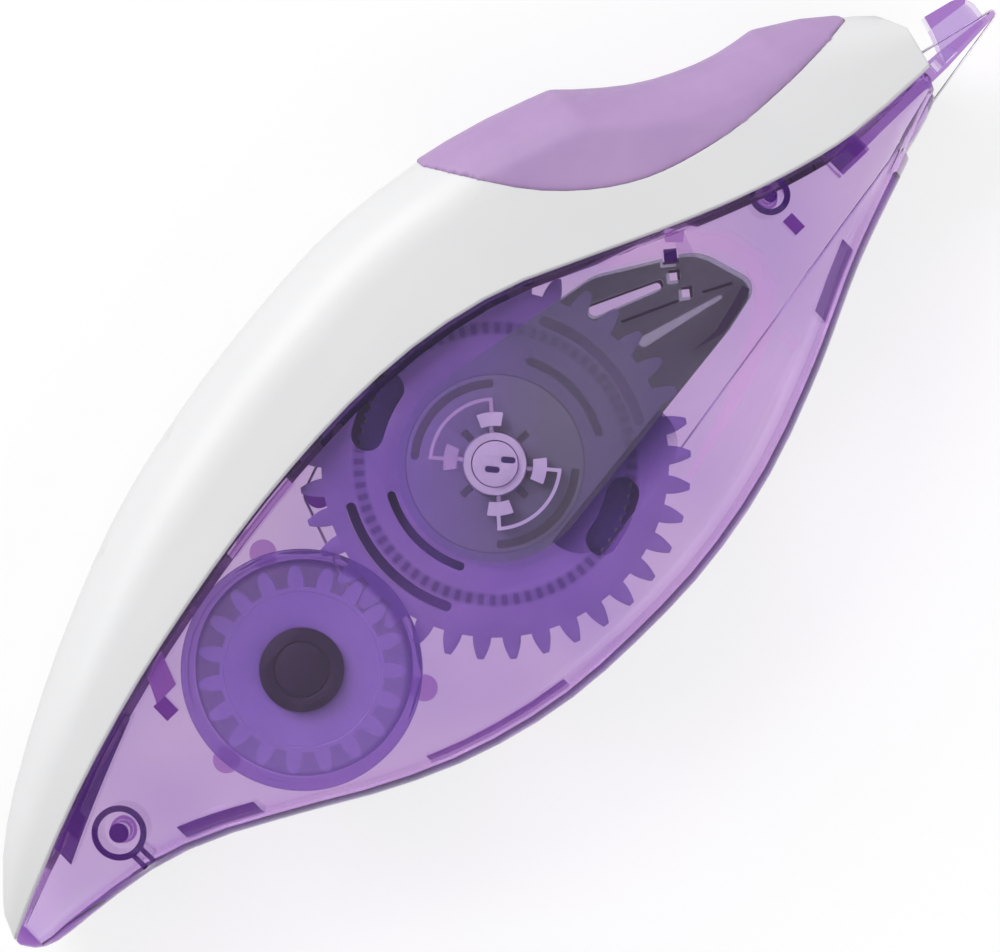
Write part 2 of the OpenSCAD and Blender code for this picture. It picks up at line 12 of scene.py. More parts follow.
import bpy
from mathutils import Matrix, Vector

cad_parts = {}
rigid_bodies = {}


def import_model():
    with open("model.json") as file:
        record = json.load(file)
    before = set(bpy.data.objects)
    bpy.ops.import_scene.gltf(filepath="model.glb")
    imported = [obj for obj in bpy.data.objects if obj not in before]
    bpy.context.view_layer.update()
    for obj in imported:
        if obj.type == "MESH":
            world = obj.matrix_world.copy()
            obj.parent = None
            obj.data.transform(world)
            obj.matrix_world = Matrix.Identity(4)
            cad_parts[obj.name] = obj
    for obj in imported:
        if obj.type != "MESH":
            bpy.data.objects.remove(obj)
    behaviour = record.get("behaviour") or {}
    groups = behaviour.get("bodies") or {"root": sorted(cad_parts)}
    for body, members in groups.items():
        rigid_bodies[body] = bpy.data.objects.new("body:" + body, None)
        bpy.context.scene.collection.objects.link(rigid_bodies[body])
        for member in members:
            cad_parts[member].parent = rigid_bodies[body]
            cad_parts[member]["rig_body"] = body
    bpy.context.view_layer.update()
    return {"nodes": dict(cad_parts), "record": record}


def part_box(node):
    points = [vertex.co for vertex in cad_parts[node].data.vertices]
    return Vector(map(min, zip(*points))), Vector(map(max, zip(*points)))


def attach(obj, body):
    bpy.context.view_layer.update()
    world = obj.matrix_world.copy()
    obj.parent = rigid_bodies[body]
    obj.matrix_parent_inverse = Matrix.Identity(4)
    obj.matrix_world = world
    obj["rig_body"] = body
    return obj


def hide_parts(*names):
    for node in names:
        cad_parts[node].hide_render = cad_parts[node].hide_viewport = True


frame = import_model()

MM = 0.001

# %% [markdown]
# ## The camera and the light
# The tape lies on its flat side and is seen from straight above, turned so that
# its tip points to the upper right. A long lens at a distance keeps the side
# view free of perspective. The light is a pale sky with one large soft lamp on
# the upper left and a weaker one across from it, as in a small photo tent. The
# sky is dimmer overhead, where the photographer stands, so that the flat clear
# faces don't mirror it and veil what lies behind them.

# %% Camera
VIEW_TURN = radians(44)
FRAME_WIDTH = 95 * MM
LENS = 300
SENSOR = 36
AIM = (-0.45 * MM, -1.15 * MM, 8.5 * MM)
NEAREST, FARTHEST = 0.01, 20

view_data = bpy.data.cameras.new("side_view")
view_data.lens = LENS
view_data.sensor_width = SENSOR
view_data.clip_start = NEAREST
view_data.clip_end = FARTHEST
camera = bpy.data.objects.new("side_view", view_data)
camera.location = (AIM[0], AIM[1], AIM[2] + FRAME_WIDTH * LENS / SENSOR)
camera.rotation_euler = (0, 0, -VIEW_TURN)
bpy.context.scene.collection.objects.link(camera)
bpy.context.scene.camera = camera
bpy.context.scene.view_settings.view_transform = "Standard"
print("camera is", round(camera.location.z / MM), "mm above the floor")


# %% Lamps
def in_picture(right, up):
    """A place given along the picture's own right and up directions."""
    turn = -VIEW_TURN
    return (right * cos(turn) - up * sin(turn), right * sin(turn) + up * cos(turn))


def soft_lamp(name, right, up, height, size, watts):
    """A square lamp, placed in metres, that looks at the part."""
    bpy.ops.object.select_all(action="DESELECT")
    x, y = in_picture(right, up)
    bpy.ops.object.light_add(type="AREA", location=(x, y, height))
    lamp = bpy.context.active_object
    lamp.name = name
    lamp.data.size = size
    lamp.data.energy = watts
    lamp.rotation_euler = (-lamp.location).to_track_quat("-Z", "Y").to_euler()


soft_lamp("tent_lamp", right=-0.64, up=0.6, height=0.68, size=0.6, watts=8.0)
soft_lamp("fill_lamp", right=0.8, up=-0.4, height=0.7, size=0.8, watts=3.1)

# %% Sky
SKY_AT_HORIZON = 1.0
SKY_OVERHEAD = 0.3
SKY_DIM_FROM = 0.8
sky = bpy.data.worlds.new("pale_sky")
sky.use_nodes = True
bpy.context.scene.world = sky
sky_nodes = sky.node_tree.nodes
sky_links = sky.node_tree.links
way = sky_nodes.new("ShaderNodeTexCoord")
parts = sky_nodes.new("ShaderNodeSeparateXYZ")
fall = sky_nodes.new("ShaderNodeMapRange")
fall.interpolation_type = "SMOOTHSTEP"
fall.inputs["From Max"].default_value = SKY_DIM_FROM
fall.inputs["To Min"].default_value = SKY_AT_HORIZON
fall.inputs["To Max"].default_value = SKY_OVERHEAD
sky_links.new(way.outputs["Generated"], parts.inputs[0])
sky_links.new(parts.outputs["Z"], fall.inputs["Value"])
sky_nodes["Background"].inputs["Color"].default_value = (1, 1, 1, 1)
sky_links.new(fall.outputs["Result"], sky_nodes["Background"].inputs["Strength"])
print("sky strength from", SKY_AT_HORIZON, "at the horizon to", SKY_OVERHEAD, "overhead")

# %% [markdown]
# ## The floor
# A plain white sheet just under the part. It takes the part's soft shadow, and
# a little light of its own, which lights nothing else, lifts it to paper white.


# %% Rays that see the floor's own light
def seen_directly(nodes, links):
    """1 for rays from the eye, from gloss and through clear plastic, otherwise 0."""
    path = nodes.new("ShaderNodeLightPath")
    total = path.outputs["Is Camera Ray"]
    for ray in ("Is Glossy Ray", "Is Transmission Ray"):
        step = nodes.new("ShaderNodeMath")
        step.operation = "MAXIMUM"
        links.new(total, step.inputs[0])
        links.new(path.outputs[ray], step.inputs[1])
        total = step.outputs[0]
    return total


# %% Floor sheet
FLOOR_SIZE = 4
FLOOR_GAP = 0.2 * MM
bpy.ops.object.select_all(action="DESELECT")
bpy.ops.mesh.primitive_plane_add(size=FLOOR_SIZE, location=(0, 0, -FLOOR_GAP))
floor = bpy.context.active_object
floor.name = "paper_floor"
print("floor lies", FLOOR_GAP / MM, "mm below the part")

# %% Floor finish
PAPER = 0.3
PAPER_GLOW = 0.73
paper = bpy.data.materials.new("white_paper")
paper.use_nodes = True
paper_nodes = paper.node_tree.nodes
paper_links = paper.node_tree.links
paper_nodes.remove(paper_nodes["Principled BSDF"])
sheet = paper_nodes.new("ShaderNodeBsdfDiffuse")
sheet.inputs["Color"].default_value = (PAPER, PAPER, PAPER, 1)
glow = paper_nodes.new("ShaderNodeEmission")
glow.inputs["Color"].default_value = (1, 1, 1, 1)
lift = paper_nodes.new("ShaderNodeMath")
lift.operation = "MULTIPLY"
lift.inputs[1].default_value = PAPER_GLOW
paper_links.new(seen_directly(paper_nodes, paper_links), lift.inputs[0])
paper_links.new(lift.outputs[0], glow.inputs["Strength"])
both = paper_nodes.new("ShaderNodeAddShader")
paper_links.new(sheet.outputs[0], both.inputs[0])
paper_links.new(glow.outputs[0], both.inputs[1])
paper_links.new(both.outputs[0], paper_nodes["Material Output"].inputs["Surface"])
floor.data.materials.append(paper)
print("floor is", paper.name)

# %% [markdown]
# ## From solids to moulded pieces
# A solid from the CAD side has dead sharp edges, and its mesh is loose
# triangles. A moulded piece has a small round on every edge, and that round is
# what catches the light. Each piece could be modelled again by hand, but the
# solids are already true, so each one is duplicated instead: its triangles are
# merged, flat neighbours are joined into one face, a narrow bevel runs along
# its sharp edges, and gentle angles are shaded smooth.


# %% Copy and merge a solid
MERGE_WITHIN = 0.001 * MM
FLAT_WITHIN = radians(0.3)


def only(obj):
    """Selects one object and nothing else."""
    bpy.ops.object.select_all(action="DESELECT")
    obj.select_set(True)
    bpy.context.view_layer.objects.active = obj


def copy_of(node, name, join=True):
    """A merged copy of one solid, free of its parent, with flat faces joined."""
    only(frame["nodes"][node])
    bpy.ops.object.duplicate()
    piece = bpy.context.active_object
    piece.name = name
    piece.data.name = name
    bpy.ops.object.parent_clear(type="CLEAR_KEEP_TRANSFORM")
    for key in [k for k in piece.keys() if k.startswith("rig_")]:
        del piece[key]
    piece.data.materials.clear()
    bpy.ops.mesh.customdata_custom_splitnormals_clear()
    bpy.ops.object.mode_set(mode="EDIT")
    bpy.ops.mesh.select_all(action="SELECT")
    bpy.ops.mesh.remove_doubles(threshold=MERGE_WITHIN)
    if join:
        bpy.ops.mesh.dissolve_limited(angle_limit=FLAT_WITHIN)
    bpy.ops.object.mode_set(mode="OBJECT")
    return piece


# %% Round and shade its edges
def apply_modifier(obj, kind, **settings):
    only(obj)
    modifier = obj.modifiers.new(kind.lower(), kind)
    for key, value in settings.items():
        setattr(modifier, key, value)
    bpy.ops.object.modifier_apply(modifier=modifier.name)


def smooth(piece, angle):
    only(piece)
    bpy.ops.object.shade_smooth_by_angle(angle=radians(angle))


# %% [markdown]
# ## A hair of air
# Where two clear mouldings meet, their solids share a face, and light that
# crosses it can't tell which plastic it is in, which renders black. Real
# mouldings touch only here and there. So the shared face is moved back by a
# few hundredths of a millimetre, too little to see or to measure.


# %% Ease a face back
HAIR = 0.04
SAME_HEIGHT = 0.004


def pick_points(piece, test):
    """Selects only the points whose place in mm passes the test, and enters edit mode."""
    only(piece)
    for parts in (piece.data.edges, piece.data.polygons):
        parts.foreach_set("select", [False] * len(parts))
    for vertex in piece.data.vertices:
        vertex.select = test(vertex.co / MM)
    bpy.context.tool_settings.mesh_select_mode = (True, False, False)
    bpy.ops.object.mode_set(mode="EDIT")
    return sum(v.select for v in piece.data.vertices)


def ease_face(piece, height, drop):
    """Moves the flat face at this height by drop, both in mm."""
    moved = pick_points(piece, lambda at: abs(at.z - height) < SAME_HEIGHT)
    bpy.ops.transform.translate(value=(0, 0, drop * MM))
    bpy.ops.object.mode_set(mode="OBJECT")
    print(piece.name, "eased at", height, "mm,", moved, "points")


# %% One moulded piece from one solid
SHARP_ANGLE = radians(30)
SMOOTH_BELOW = 35


def moulded(node, edge=0.0, ease=(), join=True):
    """The moulded look of one solid: edges of this radius, and faces eased back, in mm."""
    piece = copy_of(node, node + "_moulded", join)
    for height, drop in ease:
        ease_face(piece, height, drop)
    if edge:
        apply_modifier(piece, "BEVEL", width=edge * MM, segments=2, limit_method="ANGLE",
                       angle_limit=SHARP_ANGLE, use_clamp_overlap=True)
    smooth(piece, SMOOTH_BELOW)
    body = frame["nodes"][node]["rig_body"]
    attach(piece, body)
    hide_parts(node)
    print(piece.name, "rides on", body, "with", len(piece.data.polygons), "faces")
    return piece


# %% [markdown]
# ## Finishes
# All finishes are painted by nodes on object coordinates, in metres, so that a
# grain of half a millimetre is written as such and stays put when a reel turns.
# Each one starts from the same Principled shader. A cloud of noise makes its
# colour and gloss a little uneven, as every moulded surface is.


# %% A finish and its cloud of noise
class Finish:
    """A material with its shader, and the place that its patterns are read from."""

    def __init__(self, name):
        self.material = bpy.data.materials.new(name)
        self.material.use_nodes = True
        self.nodes = self.material.node_tree.nodes
        self.links = self.material.node_tree.links
        self.shader = self.nodes["Principled BSDF"]
        self.output = self.nodes["Material Output"]
        self.place = self.nodes.new("ShaderNodeTexCoord").outputs["Object"]

    def set(self, **values):
        for key, value in values.items():
            self.shader.inputs[key.replace("_", " ")].default_value = value

    def to(self, value, socket):
        self.links.new(value, self.shader.inputs[socket])

    def cloud(self, size, detail=3.0):
        """Noise whose lumps are about size millimetres wide."""
        noise = self.nodes.new("ShaderNodeTexNoise")
        noise.inputs["Scale"].default_value = 1 / (size * MM)
        noise.inputs["Detail"].default_value = detail
        self.links.new(self.place, noise.inputs["Vector"])
        return noise.outputs["Fac"]


# %% Colour and gloss from a value
def spread(finish, value, low, high, start=0.3, end=0.7):
    """A number that runs from low to high while value runs from start to end."""
    span = finish.nodes.new("ShaderNodeMapRange")
    span.inputs["From Min"].default_value = start
    span.inputs["From Max"].default_value = end
    span.inputs["To Min"].default_value = low
    span.inputs["To Max"].default_value = high
    finish.links.new(value, span.inputs["Value"])
    return span.outputs["Result"]


def blend(finish, value, first, second, start=0.3, end=0.7):
    """A colour that runs from first to second while value runs from start to end."""
    ramp = finish.nodes.new("ShaderNodeValToRGB")
    for stop, place, color in zip(ramp.color_ramp.elements, (start, end), (first, second)):
        stop.position = place
        stop.color = (*color, 1)
    finish.links.new(value, ramp.inputs["Fac"])
    return ramp.outputs["Color"]


def uneven_gloss(finish, grain, low, high):
    """Roughness that wanders from low to high in lumps of grain mm."""
    finish.to(spread(finish, finish.cloud(grain), low, high), "Roughness")


# %% Opaque plastic
def plastic(name, dark, pale, mottle, rough, grain):
    """Two close colours in lumps of mottle mm, and roughness in lumps of grain mm."""
    finish = Finish(name)
    finish.to(blend(finish, finish.cloud(mottle), dark, pale), "Base Color")
    uneven_gloss(finish, grain, *rough)
    return finish


def paint(piece, finish):
    piece.data.materials.clear()
    piece.data.materials.append(finish.material)


# %% [markdown]
# ## The clear shells
# The two halves of the case are dyed clear styrene. Their colour isn't on the
# surface: light loses green and some red on its way through the wall, so a
# rib seen end-on looks indigo and the flat sides look lilac. A coloured surface
# could give only one of these. A volume that absorbs light gives both.


# %% Dye, and lamps that shine through
def dye(finish, color, density):
    """Colour that deepens with the thickness of the plastic."""
    depth = finish.nodes.new("ShaderNodeVolumeAbsorption")
    depth.inputs["Color"].default_value = (*color, 1)
    depth.inputs["Density"].default_value = density
    finish.links.new(depth.outputs[0], finish.output.inputs["Volume"])


def let_light_through(finish, tint):
    """Lamps shine through clear plastic instead of stopping at it."""
    path = finish.nodes.new("ShaderNodeLightPath")
    open_way = finish.nodes.new("ShaderNodeBsdfTransparent")
    open_way.inputs["Color"].default_value = (*tint, 1)
    either = finish.nodes.new("ShaderNodeMixShader")
    finish.links.new(path.outputs["Is Shadow Ray"], either.inputs["Fac"])
    finish.links.new(finish.shader.outputs[0], either.inputs[1])
    finish.links.new(open_way.outputs[0], either.inputs[2])
    finish.links.new(either.outputs[0], finish.output.inputs["Surface"])


# %% Clear shells
CLEAR = (1, 1, 1)
LILAC_DYE = (0.52, 0.065, 0.685)
shell_finish = Finish("dyed_clear_styrene")
shell_finish.set(IOR=1.12, Transmission_Weight=0.988)
shell_finish.set(Coat_Weight=0.6, Coat_IOR=1.5, Coat_Roughness=0.03)
uneven_gloss(shell_finish, grain=6, low=0.01, high=0.04)
let_light_through(shell_finish, CLEAR)
dye(shell_finish, LILAC_DYE, density=370)

PARTING_PLANE = 8.5
near_shell = moulded("near_shell", ease=[(PARTING_PLANE, HAIR)])
far_shell = moulded("far_shell", ease=[(PARTING_PLANE, -HAIR)])
for shell in (near_shell, far_shell):
    paint(shell, shell_finish)

# %% [markdown]
# ## The groove in the shells
# A shallow groove runs round the reel window inside each shell. Its wall is
# thinner and would look nearly white. On the real case it is as pink as the
# rest, as if a fine frost held the colour there. A second material would cut
# the dyed volume in two, so the faces of its floor are marked with an
# attribute, which the one finish reads. They are picked by their height and the
# way they look. A large faint cloud makes the wall a little uneven as well.


# %% Pick flat floors by height
FACING = 0.9
SAME_FLOOR = 0.02


def floor_at(height, side=1):
    """A test for flat faces at a height in mm that look up, or down where side is -1."""
    return lambda at, way: side * way.z > FACING and abs(at.z - height) < SAME_FLOOR


# %% Frost in the groove
def mark_faces(piece, mark, test):
    """An attribute that is 1 on the faces whose centre in mm and normal pass the test."""
    values = [1.0 if test(f.center / MM, f.normal) else 0.0 for f in piece.data.polygons]
    piece.data.attributes.new(mark, "FLOAT", "FACE").data.foreach_set("value", values)
    print(piece.name, "has", int(sum(values)), "faces with", mark)


def multiply(finish, first, second):
    """One colour seen through another."""
    both = finish.nodes.new("ShaderNodeVectorMath")
    both.operation = "MULTIPLY"
    finish.links.new(first, both.inputs[0])
    finish.links.new(second, both.inputs[1])
    return both.outputs["Vector"]


CASE_THICK = 17
GROOVE_FLOOR = 0.5
FAINT_LILAC, FROST_PINK = (0.9, 0.88, 0.97), (0.9, 0.68, 0.91)
mark_faces(near_shell, "frost", floor_at(CASE_THICK - GROOVE_FLOOR, side=-1))
mark_faces(far_shell, "frost", floor_at(GROOVE_FLOOR))
frost = shell_finish.nodes.new("ShaderNodeAttribute")
frost.attribute_name = "frost"
uneven = blend(shell_finish, shell_finish.cloud(14, detail=1), FAINT_LILAC, CLEAR)
frosted = blend(shell_finish, frost.outputs["Fac"], CLEAR, FROST_PINK, 0, 1)
shell_finish.to(multiply(shell_finish, uneven, frosted), "Base Color")

# %% [markdown]
# ## The white spine
# The back of the case is one opaque white moulding with a satin gloss. Its
# surface is almost perfect, so only a faint cloud in colour and gloss keeps it
# from looking like plain paint. Its long edges are too finely cut for a bevel,
# so the shader rounds them: it looks a short way around and blends the normals.


# %% White spine
def soft_edges(finish, radius):
    """Shades sharp edges as if they had a round of this radius in mm."""
    round_off = finish.nodes.new("ShaderNodeBevel")
    round_off.samples = 4
    round_off.inputs["Radius"].default_value = radius * MM
    finish.to(round_off.outputs["Normal"], "Normal")


spine_finish = plastic("satin_white", (0.79, 0.79, 0.8), (0.81, 0.81, 0.82),
                       mottle=20, rough=(0.4, 0.46), grain=9)
soft_edges(spine_finish, radius=0.25)
paint(moulded("spine_cover"), spine_finish)

# %% [markdown]
# ## The soft grip
# The grip is a rubber skin moulded over the spine. Rubber has no crisp edge, so
# the copy of its solid is remeshed into even small faces, relaxed, and then
# swollen by a tenth of a millimetre to the size it had. The swelling also makes
# it a little too thick, so it is squeezed back to the solid's thickness. The
# finish is matte, with a grain as fine as a fingerprint, from a bump of noise.


# %% Soft grip shape
GRIP_FACE = 0.3 * MM
GRIP_SWELL = 0.1 * MM
grip = moulded("grip_pad")
apply_modifier(grip, "REMESH", mode="VOXEL", voxel_size=GRIP_FACE)
apply_modifier(grip, "SMOOTH", factor=0.5, iterations=6)
apply_modifier(grip, "DISPLACE", strength=GRIP_SWELL, mid_level=0)

# %% Soft grip back to its thickness
solid_low, solid_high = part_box("grip_pad")
heights = [vertex.co.z for vertex in grip.data.vertices]
squeeze = (solid_high[2] - solid_low[2]) / (max(heights) - min(heights))
middle = (0, 0, (solid_low[2] + solid_high[2]) / 2)
pick_points(grip, lambda at: True)
bpy.ops.transform.resize(value=(1, 1, squeeze), center_override=middle)
bpy.ops.object.mode_set(mode="OBJECT")
smooth(grip, angle=180)
print("grip has", len(grip.data.polygons), "faces and was squeezed to", round(squeeze, 4))


# %% Soft grip finish
def raise_grain(finish, value, depth):
    """Raises the surface by depth millimetres where value is 1."""
    bump = finish.nodes.new("ShaderNodeBump")
    bump.inputs["Distance"].default_value = depth * MM
    finish.links.new(value, bump.inputs["Height"])
    finish.to(bump.outputs["Normal"], "Normal")


grip_finish = plastic("lilac_rubber", (0.44, 0.28, 0.54), (0.48, 0.31, 0.57),
                      mottle=5, rough=(0.5, 0.62), grain=1.2)
raise_grain(grip_finish, grip_finish.cloud(0.16, detail=2), depth=0.012)
paint(grip, grip_finish)

# %% [markdown]
# ## The supply gear
# The large gear is purple nylon with a satin face. It turns the take-up gear
# beside it, and a round recess in its face holds the clutch. Nylon is a little
# translucent, so the toothed ring that lies under the gear shows as a soft dark
# band with fine ticks. The band is painted by the distance from the axle, which
# the record gives, and the ticks by the angle round it.


# %% Distance from an axle
def from_axle(finish, axle):
    """Distance in metres from an upright axle."""
    place = finish.place
    for action, other in (("SUBTRACT", axle), ("MULTIPLY", (1, 1, 0))):
        step = finish.nodes.new("ShaderNodeVectorMath")
        step.operation = action
        step.inputs[1].default_value = other
        finish.links.new(place, step.inputs[0])
        place = step.outputs["Vector"]
    size = finish.nodes.new("ShaderNodeVectorMath")
    size.operation = "LENGTH"
    finish.links.new(place, size.inputs[0])
    return size.outputs["Value"]


AXLES = {j["name"]: j["pos_m"] for j in frame["record"]["behaviour"]["joints"]}
print("axles in mm:", {name: [round(c / MM, 2) for c in at] for name, at in AXLES.items()})


# %% Band of ticks round the axle
def ticks(finish, count):
    """Runs from 0 to 1 and back, count times round the supply axle."""
    angle = finish.nodes.new("ShaderNodeTexGradient")
    angle.gradient_type = "RADIAL"
    finish.links.new(finish.place, angle.inputs["Vector"])
    wave = finish.nodes.new("ShaderNodeMath")
    wave.operation = "PINGPONG"
    wave.inputs[1].default_value = 0.5 / count
    finish.links.new(angle.outputs["Fac"], wave.inputs[0])
    return spread(finish, wave.outputs[0], 0, 1, 0, 0.5 / count)


def band(finish, out, start, end, fade):
    """1 between two distances in mm from the axle, and 0 outside them."""
    inner = spread(finish, out, 0, 1, (start - fade) * MM, start * MM)
    outer = spread(finish, out, 1, 0, end * MM, (end + fade) * MM)
    return multiply(finish, inner, outer)


# %% Mix a plain colour with a pattern
def mix(finish, value, plain, pattern):
    """A plain colour where value is 0 and a pattern where it is 1."""
    both = finish.nodes.new("ShaderNodeMixRGB")
    both.inputs["Color1"].default_value = (*plain, 1)
    finish.links.new(value, both.inputs["Fac"])
    finish.links.new(pattern, both.inputs["Color2"])
    return both.outputs["Color"]


# %% Supply gear
RING_TEETH = 72
RING_FROM, RING_TO, RING_FADE = 12.5, 13.2, 0.4
TOOTH, GAP = (0.42, 0.38, 0.5), (0.72, 0.7, 0.76)
TOOTH_EDGE, GAP_EDGE = 0.35, 0.65
gear_finish = plastic("purple_nylon", (0.235, 0.17, 0.4), (0.265, 0.19, 0.44),
                      mottle=3, rough=(0.3, 0.42), grain=1)
gear_color = gear_finish.shader.inputs["Base Color"].links[0].from_socket
toothed = blend(gear_finish, ticks(gear_finish, RING_TEETH), TOOTH, GAP, TOOTH_EDGE, GAP_EDGE)
out_from_axle = from_axle(gear_finish, AXLES["supply_drive_spin"])
ring_mask = band(gear_finish, out_from_axle, RING_FROM, RING_TO, RING_FADE)
ring_seen = mix(gear_finish, ring_mask, CLEAR, toothed)
gear_finish.to(multiply(gear_finish, gear_color, ring_seen), "Base Color")
soft_edges(gear_finish, radius=0.12)
supply_gear = moulded("supply_gear", edge=0.03)
paint(supply_gear, gear_finish)

# %% [markdown]
# ## The floor of the recess
# The recess in the gear is deep, and its floor shows as dark marks through the
# slots of the disc above it. Shade alone would leave it paler than on the real
# gear, so the floor gets a charcoal finish as painted shade. The same finish is
# used again on the cap of the take-up reel. Its faces are picked by their
# height, as in the groove.


# %% Painted shade on the floor of its recess
def paint_where(piece, finish, test):
    """Gives a second finish to the faces whose centre in mm and normal pass the test."""
    piece.data.materials.append(finish.material)
    last = len(piece.data.materials) - 1
    chosen = [f for f in piece.data.polygons if test(f.center / MM, f.normal)]
    for face in chosen:
        face.material_index = last
    print(piece.name, "has", len(chosen), "faces in", finish.material.name)


RECESS_FLOOR = 13.4
charcoal_and_shade_finish = plastic("charcoal_and_painted_shade", (0.014, 0.01, 0.025), (0.022, 0.016, 0.038),
                     mottle=1.5, rough=(0.35, 0.5), grain=0.8)
soft_edges(charcoal_and_shade_finish, radius=0.08)
# The floor of the recess gets the charcoal finish as painted shade.
paint_where(supply_gear, charcoal_and_shade_finish, floor_at(RECESS_FLOOR))

# %% [markdown]
# ## The clutch
# The supply gear drives its reel through a slip clutch: as the roll shrinks the
# two have to turn at different speeds. A toothed ring sits on the reel, and a
# grey disc sits in the gear. The ring is deep purple, darkened further as
# painted shade, for it is seen in shade under the gear. The disc is acetal, a
# slippery plastic with a dull shine.

# %% Clutch ring and disc
# The ring's finish is darkened as painted shade, and it also paints the shade on the slot floors of
# the hub cap.
ring_and_shade_finish = plastic("clutch_ring_and_painted_shade", (0.14, 0.085, 0.36), (0.16, 0.1, 0.4),
                      mottle=2, rough=(0.35, 0.45), grain=1)
paint(moulded("clutch_ring", edge=0.05), ring_and_shade_finish)
disc_finish = plastic("grey_acetal", (0.3, 0.27, 0.39), (0.34, 0.31, 0.43),
                      mottle=2, rough=(0.35, 0.45), grain=1)
paint(moulded("clutch_disc", edge=0.08), disc_finish)

# %% [markdown]
# ## The clutch spring
# A thin clear spring presses the disc down. It has four pads on narrow necks,
# and two bowed arms that join them in pairs. Where the light falls on it the
# spring looks pink, and elsewhere it nearly vanishes. This light and shade is
# painted: the lit pads keep a milky pink finish, and the necks, the arm in the
# shade and one pad get a clear one. Its flat faces stay triangles, because one
# large face with so many holes doesn't fill well.


# %% Spring parts in painted shade
NECK_START, NECK_END = 2.97, 3.58
ARM_START = 4.95
SHADE_FROM, SHADE_TO = 30, 150
DIM_PAD, PAD_HALF = 128, 16


def turn_of(at):
    """Angle of a place round the supply axle, in degrees."""
    return degrees(atan2(at.y, at.x)) % 360


def on_shaded_part(at, way):
    """A test for the necks, the arm in the shade and the pad beside it, which get painted shade."""
    out = hypot(at.x, at.y)
    on_neck = NECK_START < out < NECK_END
    on_arm = out > ARM_START and SHADE_FROM < turn_of(at) < SHADE_TO
    on_pad = out > NECK_END and DIM_PAD - PAD_HALF < turn_of(at) < DIM_PAD + PAD_HALF
    return on_neck or on_arm or on_pad


# %% Clutch spring
SPRING_FOOT, SPRING_LIFT = 14.2, 0.03
# The milky pink finish is the spring in painted light, and the clear one below is the spring in
# painted shade.
milky_and_lit_finish = Finish("milky_pink_and_painted_light")
milky_and_lit_finish.set(Base_Color=(0.8, 0.9, 0.84, 1), IOR=1.45, Transmission_Weight=0.3)
uneven_gloss(milky_and_lit_finish, grain=1, low=0.1, high=0.2)
spring_shade_finish = Finish("spring_in_painted_shade")
spring_shade_finish.set(Base_Color=(0.84, 0.82, 0.88, 1), IOR=1.2, Transmission_Weight=0.75)
uneven_gloss(spring_shade_finish, grain=1, low=0.02, high=0.05)
let_light_through(spring_shade_finish, (0.95, 0.92, 0.96))
spring = moulded("clutch_spring", ease=[(SPRING_FOOT, SPRING_LIFT)], join=False)
paint(spring, milky_and_lit_finish)
paint_where(spring, spring_shade_finish, on_shaded_part)

# %% [markdown]
# ## The hub cap
# The cap at the middle is moulded from the same milky plastic as the spring.
# Two short slots let a tool turn it when the case is put together, and their
# floors lie in deep shade, which is painted on them with the clutch ring's dark finish.

# %% Hub cap
SLOT_FLOOR = 14.9
hub_cap = moulded("hub_cap", edge=0.06)
paint(hub_cap, milky_and_lit_finish)
# The slot floors get the ring's dark finish as painted shade.
paint_where(hub_cap, ring_and_shade_finish, floor_at(SLOT_FLOOR))

# %% [markdown]
# ## The take-up reel
# The small gear winds up the empty liner. It is a paler nylon than the large
# one, on a dark core, and a clear purple flange lies over its teeth and keeps
# the liner in line. The flange is thin in the middle and thick at its rim, so
# its colour is painted by the distance from the axle. A charcoal cap closes the
# middle.

# %% Take-up gear and core
pale_gear = plastic("pale_purple_nylon", (0.27, 0.22, 0.42), (0.31, 0.25, 0.47),
                    mottle=3, rough=(0.3, 0.42), grain=1)
soft_edges(pale_gear, radius=0.12)
paint(moulded("take_up_gear"), pale_gear)
paint(moulded("take_up_core", edge=0.1), ring_and_shade_finish)

# %% Take-up flange
FLANGE_FOOT = 14.1
RIM_FROM, RIM_TO = 9.6 * MM, 10.2 * MM
MIDDLE_COLOR, RIM_COLOR = (0.68, 0.62, 0.86), (0.4, 0.28, 0.62)
flange_finish = Finish("clear_purple_flange")
flange_finish.set(IOR=1.2, Transmission_Weight=0.84)
rim = spread(flange_finish, from_axle(flange_finish, AXLES["take_up_spin"]), 0, 1, RIM_FROM, RIM_TO)
flange_finish.to(blend(flange_finish, rim, MIDDLE_COLOR, RIM_COLOR, 0, 1), "Base Color")
uneven_gloss(flange_finish, grain=3, low=0.05, high=0.09)
let_light_through(flange_finish, (0.85, 0.8, 0.94))
paint(moulded("take_up_flange", edge=0.1, ease=[(FLANGE_FOOT, HAIR)]), flange_finish)

# %% Take-up hub
paint(moulded("take_up_hub", edge=0.08), charcoal_and_shade_finish)

# %% [markdown]
# ## The reel plates
# A smoke-coloured plate lies over the supply gear and a second one lies under
# its reel. The near one lets the gear show through it. Its colour turns from
# lilac to grey along the picture's width as a painted reflection, so the colour
# is read from the distance in that direction. Its lip gets the charcoal finish
# as painted shade, and the far plate is solid dark grey.


# %% Distance along a direction
def along(finish, direction):
    """Distance in metres along a direction, from the supply axle."""
    dot = finish.nodes.new("ShaderNodeVectorMath")
    dot.operation = "DOT_PRODUCT"
    dot.inputs[1].default_value = direction
    finish.links.new(finish.place, dot.inputs[0])
    return dot.outputs["Value"]


# %% Reel plates
RIGHT = (*in_picture(1, 0), 0)
LILAC_SMOKE, GREY_REFLECTION = (0.62, 0.58, 0.82), (0.5, 0.62, 0.53)
LILAC_TO, GREY_FROM = -8 * MM, 5 * MM
PLATE_LOW, PLATE_HIGH = 14.3, 15.04
smoke_finish = Finish("smoke_plate_clear")
smoke_finish.set(IOR=1.2, Transmission_Weight=0.9)
